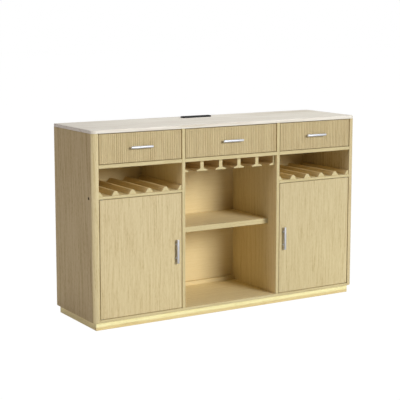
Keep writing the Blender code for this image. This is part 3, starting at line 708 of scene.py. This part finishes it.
# Side panels, rounded at the front and rebated for the back, each with a socket bolt sunk in a ferrule
sidePiece = dict(thickness=30 * mm, rebateDeep=10 * mm, ease=1.0 * mm, edge=0.6 * mm, smoothAngle=25)
boltPiece = dict(setback=42 * mm, rise=3 * mm, radius=5 * mm, depth=8 * mm, sink=3.5 * mm, gap=0.3 * mm,
                 dome=1.0 * mm, keyAcross=4 * mm, keyDeep=3 * mm)
ferrulePiece = dict(rim=7 * mm, rimDeep=1.2 * mm, play=0.1 * mm, rimEase=0.5 * mm, lipIn=0.2 * mm,
                    lipEase=0.6 * mm)
thickness, rebateDeep, ease, edge, smoothAngle = sidePiece.values()
setback, rise, radius, depth, sink, gap, dome, keyAcross, keyDeep = boltPiece.values()
rim, rimDeep, play, rimEase, lipIn, lipEase = ferrulePiece.values()
backLow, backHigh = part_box("back_panel")
for side, sign in sides.items():
    low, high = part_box(f"{side}_side_panel")
    outer = high.x if sign > 0 else low.x
    inner = outer - sign * thickness
    rebate = inner + sign * rebateDeep
    outline = roundedOutline([
        (outer, high.y, ease),
        *frontCorner(outer, low.y, -sign),
        (inner, low.y, ease),
        (inner, backLow.y - seat, 0.0),
        (rebate, backLow.y - seat, 0.0),
        (rebate, high.y, ease),
    ], cornerRound["steps"])
    panel = plateMesh([outline], "z", low.z, high.z, f"{side}Side", edge)
    boltPlace = Vector((outer, low.y + setback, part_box(f"{side}_bottle_shelf")[0].z + rise))
    bores = [pegMesh(size, -deep, deep, "blackSteel", "x", boltPlace)
             for size, deep in ((radius, depth), (rim, rimDeep))]
    addPiece(f"{side}SidePanel", cutMesh(panel, bores), "carcass",
             [f"{side}_side_panel"], smoothAngle)
    headRadius, headHigh = radius - gap, depth - sink
    head = turnedMesh([
        (0, gap), (headRadius, gap), (headRadius, headHigh - dome), (headRadius - gap, headHigh - gap),
        (headRadius - dome, headHigh), (0, headHigh),
    ], "blackSteel")
    socket = pegMesh(keyAcross / math.sqrt(3), headHigh - keyDeep, headHigh + over, "blackSteel", steps=6)
    lip, brim, under = radius - lipIn, rim - play, depth - rimDeep
    ferrule = turnedMesh([
        (lip, under), (brim, under), (brim, depth - rimEase), (brim - rimEase, depth),
        (lip + lipEase, depth), (lip, depth - lipEase), (lip, under),
    ], "blackSteel")
    bolt = joinMeshes([cutMesh(head, [socket]), ferrule])
    bolt.transform(Matrix.Translation(boltPlace - Vector((sign * depth, 0, 0)))
                   @ Matrix.Rotation(sign * math.pi / 2, 4, "Y"))
    addPiece(f"{side}SideBolt", bolt, "carcass")
print("side panels made")


# Boards that keep their CAD shape
dressNodes("dividers", "left_divider", "right_divider")
dressNodes("decks", "left_drawer_deck", "centre_drawer_deck", "right_drawer_deck", "bottom_panel",
           "left_bottle_shelf", "right_bottle_shelf")
dressNodes("shelves", "centre_shelf")
dressNodes("back", "back_panel", "back_batten")
dressNodes("plinthLong", "plinth_front", "plinth_back")
dressNodes("plinthEnds", "plinth_left", "plinth_right")
print("boards dressed")


# Racks: bottle rails with a round crown, and stemware rails of upside-down T section with a tapered flange
bottleRail = dict(places=5, top=12 * mm, crown=3 * mm, foot=0.6 * mm, edge=0.5 * mm, steps=10)
stemRail = dict(places=5, web=18 * mm, flangeEdge=5 * mm, flangeRoot=12 * mm, ease=1.0 * mm, edge=0.6 * mm,
                steps=6)


def railRack(name, stem, rail, halfSection, finish):
    # a row of full rails, and a half rail against each wall; halfSection is the right half, from its foot
    nodes = [f"{stem}_{number}" for number in range(1, rail["places"] + 2)]
    low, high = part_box(nodes[1])
    pitch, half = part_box(nodes[2])[0].x - low.x, (high.x - low.x) / 2
    section = roundedOutline(halfSection + [(-u, v, r) for u, v, r in reversed(halfSection)], rail["steps"])
    one = plateMesh([section], "y", low.y, high.y, finish, rail["edge"])
    places = [(low.x + half + pitch * step, 0.0, low.z) for step in range(rail["places"] - 1)]
    rails = [partsAt(places, one, finish)]
    for node, facing in ((nodes[0], 1), (nodes[-1], -1)):
        low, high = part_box(node)
        wall = low.x if facing > 0 else high.x
        wider = high.x - low.x - half          # how much an end rail is wider than half a rail
        corners = [(u + wider, v, r) for u, v, r in halfSection]
        corners = [(0.0, 0.0, 0.0), *corners, (0.0, high.z - low.z, 0.0)]
        outline = roundedOutline([(wall + facing * u, low.z + v, r) for u, v, r in corners], rail["steps"])
        if facing < 0:
            outline.reverse()
        rails.append(plateMesh([outline], "y", low.y, high.y, finish, rail["edge"]))
    addPiece(name, joinMeshes(rails), "carcass", nodes)


for bay in sides:
    low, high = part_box(f"{bay}_bottle_rail_2")
    railRack(f"{bay}BottleRails", f"{bay}_bottle_rail", bottleRail, [
        ((high.x - low.x) / 2, 0.0, bottleRail["foot"]),
        (bottleRail["top"] / 2, high.z - low.z, bottleRail["crown"]),
    ], "bottleRails")
low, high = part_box("stemware_rail_2")
half, halfWeb, ease = (high.x - low.x) / 2, stemRail["web"] / 2, stemRail["ease"]
railRack("stemwareRails", "stemware_rail", stemRail, [
    (half, 0.0, ease), (half, stemRail["flangeEdge"], ease), (halfWeb, stemRail["flangeRoot"], 2 * ease),
    (halfWeb, high.z - low.z, 0.0),
], "stemRails")
print("bottle and stemware racks made")


# Pan-head screws with a cross recess hold the back, the handles, the drawer fronts and the runners
screwPiece = dict(radius=3.4 * mm, height=1.8 * mm, crossReach=2.0 * mm, crossHalf=0.45 * mm,
                  crossDeep=1.0 * mm, crossEdge=0.05 * mm, steps=14)
radius, height, reach, half, deep, edge, steps = screwPiece.values()
screwHead = turnedMesh([
    (0.0, 0.0), (radius, 0.0), (radius, 0.4 * height), (0.82 * radius, 0.78 * height),
    (0.5 * radius, 0.96 * height), (0.0, height),
], "zinc", steps=steps)
arms = [boardMesh((-u, -v, height - deep), (u, v, height + over), "zinc", edge, edgeSteps=1)
        for u, v in ((reach, half), (half, reach))]
screw = cutMesh(screwHead, arms)
screwSeeds = dict(back=3, door=5, drawer=9, slide=11)


def screwsAt(places, facing, seed):
    return partsAt(places, screw, "zinc", facing, math.tau, seed)


def spread(first, last, count):
    return [first + (last - first) * step / (count - 1) for step in range(count)]


backPiece = dict(screwInset=4.7 * mm, screwsUp=6, screwsAcross=9, endSpace=45 * mm)
inset, space, dividerX = backPiece["screwInset"], backPiece["endSpace"], middleOf("right_divider").x
backScrews = [(x, backHigh.y, z) for x in (backLow.x + inset, -dividerX, dividerX, backHigh.x - inset)
              for z in spread(backLow.z + space, backHigh.z - space, backPiece["screwsUp"])]
backScrews += [(x, backHigh.y, middleOf(node).z) for node in ("bottom_panel", "centre_drawer_deck")
               for x in spread(backLow.x + 2 * space, backHigh.x - 2 * space, backPiece["screwsAcross"])]
addPiece("backPanelScrews", screwsAt(backScrews, (0, 1, 0), screwSeeds["back"]), "carcass")
print("back screws set:", len(backScrews))


# Bar handles: a round bar with eased ends on two posts
handlePiece = dict(barRadius=6 * mm, endRound=1.4 * mm, endSteps=4, barSteps=40, postRadius=4.5 * mm,
                   foot=1.2 * mm, postSteps=28, postSpacing=64 * mm)
postShifts = [sign * handlePiece["postSpacing"] / 2 for sign in sides.values()]


def barHandle(name, node, body, upright):
    radius, ease, endSteps, barSteps, post, foot, postSteps, _ = handlePiece.values()
    low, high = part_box(node)
    middle = middleOf(node)
    half = (high.z - low.z) / 2 if upright else (high.x - low.x) / 2
    turns = [math.pi / 2 * step / endSteps for step in range(endSteps + 1)]
    ends = [(radius - ease + ease * math.cos(turn), half - ease + ease * math.sin(turn)) for turn in turns]
    profile = [(0.0, -half)] + [(r, -h) for r, h in reversed(ends)] + ends + [(0.0, half)]
    barPlace = Vector((middle.x, low.y + radius, middle.z))
    parts = [turnedMesh(profile, "chrome", "z" if upright else "x", barPlace, barSteps)]
    reach = high.y - barPlace.y
    for shift in postShifts:
        place = barPlace + Vector((0, 0, shift) if upright else (shift, 0, 0))
        parts.append(turnedMesh([
            (0.0, 0.0), (post, 0.0), (post, reach - 2 * foot), (post + 0.2 * foot, reach - 1.4 * foot),
            (post + foot, reach - 0.5 * foot), (post + foot, reach), (0.0, reach),
        ], "chrome", "y", place, postSteps))
    addPiece(name, joinMeshes(parts), body, [node])


for side in sides:
    barHandle(f"{side}DoorHandle", f"{side}_door_handle", f"{side}_door", True)
for bay in bays:
    barHandle(f"{bay}DrawerHandle", f"{bay}_drawer_handle", f"{bay}_drawer", False)
print("handles made")


# Doors: veneered slabs with eased edges, bored for the pivots, with the handle's screws on the inner face
# fronts stand a little further off at the left, where the frame's step half hides the gap
leftGap = 1.2 * mm
doorPiece = dict(edge=0.9 * mm, edgeSteps=3, boreRadius=4.1 * mm, boreDeep=12.4 * mm)
pivotPiece = dict(pin=3.8 * mm, collar=6 * mm, collarHigh=2.4 * mm, stub=9 * mm, chamfer=0.6 * mm,
                  ease=0.3 * mm)
edge, edgeSteps, boreRadius, boreDeep = doorPiece.values()
pin, collar, collarHigh, stub, chamfer, ease = pivotPiece.values()
for side in sides:
    body, finish = f"{side}_door", f"{side}Door"
    low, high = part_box(body)
    axis = middleOf(f"{body}_lower_pivot")
    bores = [pegMesh(boreRadius, -boreDeep, boreDeep, finish, "z", (axis.x, axis.y, level))
             for level in (low.z, high.z)]
    slab = boardMesh(low + Vector((leftGap, 0, 0)), high, finish, edge, edgeSteps)
    addPiece(f"{side}Door", cutMesh(slab, bores), body, [body])
    grip = middleOf(f"{body}_handle")
    places = [(grip.x, high.y, grip.z + shift) for shift in postShifts]
    addPiece(f"{side}DoorScrews", screwsAt(places, (0, 1, 0), screwSeeds["door"]), body)
    # pivot pins: a stub in the board, a collar that carries the door, and a pin up into it
    turned = []
    for end in ("lower", "upper"):
        low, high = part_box(f"{body}_{end}_pivot")
        top, length = stub + collarHigh, high.z - low.z
        profile = [(0.0, 0.0), (pin - chamfer, 0.0), (pin, chamfer), (pin, stub), (collar - ease, stub),
                   (collar, stub + ease), (collar, top - ease), (collar - ease, top), (pin, top),
                   (pin, length - chamfer), (pin - chamfer, length), (0.0, length)]
        if end == "upper":
            profile = [(r, length - h) for r, h in reversed(profile)]
        turned.append(turnedMesh(profile, "zinc", "z", (axis.x, axis.y, low.z)))
    addPiece(f"{side}DoorPivots", joinMeshes(turned), "carcass",
             [f"{body}_lower_pivot", f"{body}_upper_pivot"])
print("doors made")


# Drawer fronts: a board with a row of half-round reeds across its face
reedPiece = dict(pitch=9.5 * mm, rise=2.4 * mm, gap=0.9 * mm, arcPoints=13, edge=0.5 * mm, firstSeed=7)
for bay in bays:
    low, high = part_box(f"{bay}_drawer_front")
    low.x += leftGap
    count = round((high.x - low.x) / reedPiece["pitch"])
    pitch = (high.x - low.x) / count
    chord, rise = pitch - reedPiece["gap"], reedPiece["rise"]
    radius = (chord ** 2 / 4 + rise ** 2) / (2 * rise)
    halfAngle, ground = math.asin(chord / 2 / radius), low.y + rise
    board = boardMesh((low.x, ground, low.z), high, "reeds", reedPiece["edge"])
    reeds = runTree(reedTree, {
        "Count": count, "Pitch": pitch, "Radius": radius, "First Angle": 1.5 * math.pi - halfAngle,
        "Sweep": 2 * halfAngle, "Arc Points": reedPiece["arcPoints"], "Height": high.z - low.z,
        "Start": (low.x + pitch / 2, ground + radius - rise, low.z),
        "Seed": reedPiece["firstSeed"] + bays.index(bay), "Material": finishes["reeds"],
    })
    addPiece(f"{bay}DrawerFront", joinMeshes([board, reeds]), f"{bay}_drawer",
             [f"{bay}_drawer_front"])
print("drawer fronts made")


# Drawer boxes: plywood boards with the floor let in between them
drawerPiece = dict(sideSpace=12.7 * mm, wall=12 * mm, floor=6 * mm, joint=0.1 * mm, edge=0.8 * mm,
                   fixingSpread=0.12, fixingInset=20 * mm)
sideSpace, wall, floorHigh, joint, boardEdge, fixingSpread, inset = drawerPiece.values()
bayWalls = dict(
    left=(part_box("left_side_panel")[1].x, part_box("left_divider")[0].x),
    centre=(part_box("left_divider")[1].x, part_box("right_divider")[0].x),
    right=(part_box("right_divider")[1].x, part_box("right_side_panel")[0].x),
)


def plyBoard(low, high):
    mesh = boardMesh(low, high, "plywood", boardEdge)
    sizes = [b - a for a, b in zip(low, high)]
    thin = sizes.index(min(sizes))
    depth = mesh.attributes.new("plyDepth", "FLOAT", "POINT")
    for point, item in zip(mesh.vertices, depth.data):
        item.value = (point.co[thin] - low[thin]) / sizes[thin]
    return mesh


for bay in bays:
    low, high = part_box(f"{bay}_drawer_box")
    left, right, rim = bayWalls[bay][0] + sideSpace, bayWalls[bay][1] - sideSpace, wall + joint
    boards = [plyBoard((x, low.y, low.z), (x + wall, high.y, high.z)) for x in (left, right - wall)]
    boards += [plyBoard((left + rim, y, low.z), (right - rim, y + wall, high.z))
               for y in (low.y, high.y - wall)]
    boards.append(plyBoard((left + rim, low.y + rim, low.z),
                           (right - rim, high.y - rim, low.z + floorHigh)))
    addPiece(f"{bay}DrawerBox", joinMeshes(boards), f"{bay}_drawer",
             [f"{bay}_drawer_box"])
    # screws through the box into the front and the handle's posts
    grip, face = middleOf(f"{bay}_drawer_handle"), low.y + wall
    places = [(grip.x + shift, face, grip.z) for shift in postShifts]
    places += [(grip.x + sign * fixingSpread, face, level) for sign in sides.values()
               for level in (low.z + inset, high.z - inset)]
    addPiece(f"{bay}DrawerScrews", screwsAt(places, (0, 1, 0), screwSeeds["drawer"]), f"{bay}_drawer")
print("drawer boxes made")


# Drawer slides: a pressed channel on each wall of the bay, and a hat-shaped rail on each side of the box
channelPiece = dict(depth=12 * mm, half=17.5 * mm, sheet=1.5 * mm, lip=5 * mm, bend=2 * mm, ease=0.4 * mm)
slotPiece = dict(count=4, long=14 * mm, high=4.6 * mm, deep=4 * mm, screws=3)
hatPiece = dict(near=5.4 * mm, web=10.4 * mm, half=15.6 * mm, neck=12.1 * mm, bend=0.9 * mm, play=0.05 * mm)
sheetEdge, bendSteps = 0.15 * mm, 4
depth, half, sheet, lip, bend, ease = channelPiece.values()
slotCount, slotLong, slotHigh, slotDeep, screwCount = slotPiece.values()
slotEnd = 0.495 * slotHigh   # just under half, for round ends
near, web, hatHalf, neck, hatBend, play = hatPiece.values()
far, mouth, crown = seat + depth, half - lip, sideSpace - play
channelHalf = [              # upper half of each section: distance from the wall, height, radius
    (seat + sheet, half - sheet, ease), (far - sheet, half - sheet, ease), (far - sheet, mouth, ease),
    (far, mouth, ease), (far, half, bend), (seat, half, bend),
]
railHalf = [
    (crown, neck, hatBend), (web, neck, ease), (web, hatHalf, hatBend), (near, hatHalf, ease),
    (near, hatHalf - sheet, ease), (web - sheet, hatHalf - sheet, ease), (web - sheet, neck - sheet, ease),
    (crown - sheet, neck - sheet, ease),
]


def pressedSection(upperHalf, wall, facing, level, start, end):
    # the upper half of a section, mirrored below and pushed along Y
    corners = upperHalf + [(u, -v, radius) for u, v, radius in reversed(upperHalf)]
    outline = roundedOutline([(wall + facing * u, level + v, radius) for u, v, radius in corners], bendSteps)
    if facing < 0:
        outline.reverse()
    return plateMesh([outline], "y", start, end, "zinc", sheetEdge, edgeSteps=1)


for bay in bays:
    boxLow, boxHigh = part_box(f"{bay}_drawer_box")
    channels, rails = [], []
    for side, wall, facing in zip(sides, bayWalls[bay], (1, -1)):
        low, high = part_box(f"{bay}_drawer_runner_{side}")
        level, step = (low.z + high.z) / 2, (high.y - low.y) / slotCount
        reach = sorted((wall - facing * over, wall + facing * slotDeep))
        slots = [roundedRect(low.y + (number + 0.5) * step, level, slotLong / 2, slotHigh / 2, slotEnd,
                             bendSteps) for number in range(slotCount)]
        channels.append(cutMesh(pressedSection(channelHalf, wall, facing, level, low.y, high.y),
                                [plateMesh([slot], "x", *reach, "zinc") for slot in slots]))
        places = [(wall + facing * (seat + sheet), low.y + (number + 1) * step, level)
                  for number in range(screwCount)]
        channels.append(screwsAt(places, (facing, 0, 0), screwSeeds["slide"]))
        rails.append(pressedSection(railHalf, wall, facing, level, boxLow.y, boxHigh.y))
    addPiece(f"{bay}Runners", joinMeshes(channels), "carcass",
             [f"{bay}_drawer_runner_{side}" for side in sides])
    addPiece(f"{bay}DrawerRails", joinMeshes(rails), f"{bay}_drawer")
print("drawer slides made")


# Power module: a rounded frame with a sunk plate, two outlets, charging ports, and its case below the top
modulePiece = dict(corner=6 * mm, rim=2.6 * mm, rimRound=1.3 * mm, sunk=1.0 * mm, caseCorner=3 * mm,
                   caseEdge=1.0 * mm, caseLap=0.4 * mm, holeDeep=4.6 * mm, portRow=5.5 * mm,
                   tongueRoot=0.2 * mm, tongueDrop=0.8 * mm, cornerSteps=6, edgeSteps=3)
outletPiece = dict(places=(-52 * mm, -13 * mm), half=(14 * mm, 10.5 * mm), corner=4 * mm, deep=1.2 * mm)
pinPiece = dict(bladeSpread=6.35 * mm, bladeShift=2 * mm, bladeHalf=(0.9 * mm, 3.6 * mm),
                bladeCorner=0.3 * mm, earthRadius=2.4 * mm, earthShift=-5 * mm, earthSteps=20)
widePort = dict(half=(6.4 * mm, 2.4 * mm), corner=0.4 * mm, tongueHalf=5.5 * mm, tongue=(0.0, 1.5 * mm),
                edge=0.2 * mm)
smallPort = dict(half=(4.6 * mm, 1.6 * mm), corner=1.568 * mm, tongueHalf=3.2 * mm,
                 tongue=(-0.4 * mm, 0.4 * mm), edge=0.15 * mm)
ports = ((20 * mm, widePort), (38 * mm, widePort), (56 * mm, smallPort))       # place along the module
(corner, rim, rimRound, sunk, caseCorner, caseEdge, caseLap, holeDeep, portRow, tongueRoot,
 tongueDrop, cornerSteps, edgeSteps) = modulePiece.values()
outlets, outletHalf, outletCorner, outletDeep = outletPiece.values()
bladeSpread, bladeShift, bladeHalf, bladeCorner, earthRadius, earthShift, earthSteps = pinPiece.values()


def moduleBox(x, y, half, radius, lowZ, highZ, edge=0.0):
    # a rounded block at a place given from the middle of the module
    outline = roundedRect(moduleMiddle.x + x, moduleMiddle.y + y, *half, radius, cornerSteps)
    return plateMesh([outline], "z", lowZ, highZ, "abs", edge, edgeSteps)


frameLow, rimTop, frameHalf = topHigh.z + seat, moduleHigh.z, moduleHalf.xy
plate, bottom, clear = rimTop - sunk, rimTop - holeDeep, rimTop + 2 * over
frameMesh = moduleBox(0, 0, frameHalf, corner, frameLow, rimTop, rimRound)
cutters = [moduleBox(0, 0, [half - rim for half in frameHalf], corner - rim, plate, clear)]
for x in outlets:
    cutters.append(moduleBox(x, 0, outletHalf, outletCorner, plate - outletDeep, clear))
    cutters += [moduleBox(x + sign * bladeSpread, bladeShift, bladeHalf, bladeCorner, bottom, clear)
                for sign in sides.values()]
    earth = (moduleMiddle.x + x, moduleMiddle.y + earthShift, 0.0)
    cutters.append(pegMesh(earthRadius, bottom, clear, "abs", "z", earth, earthSteps))
tongues = []
for row in (-portRow, portRow):
    for x, port in ports:
        half, portCorner, tongueHalf, (front, back), edge = port.values()
        cutters.append(moduleBox(x, row, half, portCorner, bottom, clear))
        middleX, middleY = moduleMiddle.x + x, moduleMiddle.y + row
        tongues.append(boardMesh(
            (middleX - tongueHalf, middleY + front, bottom - tongueRoot),
            (middleX + tongueHalf, middleY + back, plate - tongueDrop), "abs", edge, edgeSteps=1))
case = moduleBox(0, 0, [half - topPiece["moduleLip"] for half in frameHalf], caseCorner, moduleLow.z,
                 frameLow + caseLap, caseEdge)
addPiece("powerModule", joinMeshes([cutMesh(frameMesh, cutters), case] + tongues), "carcass",
         ["power_module"])
print("power module made")
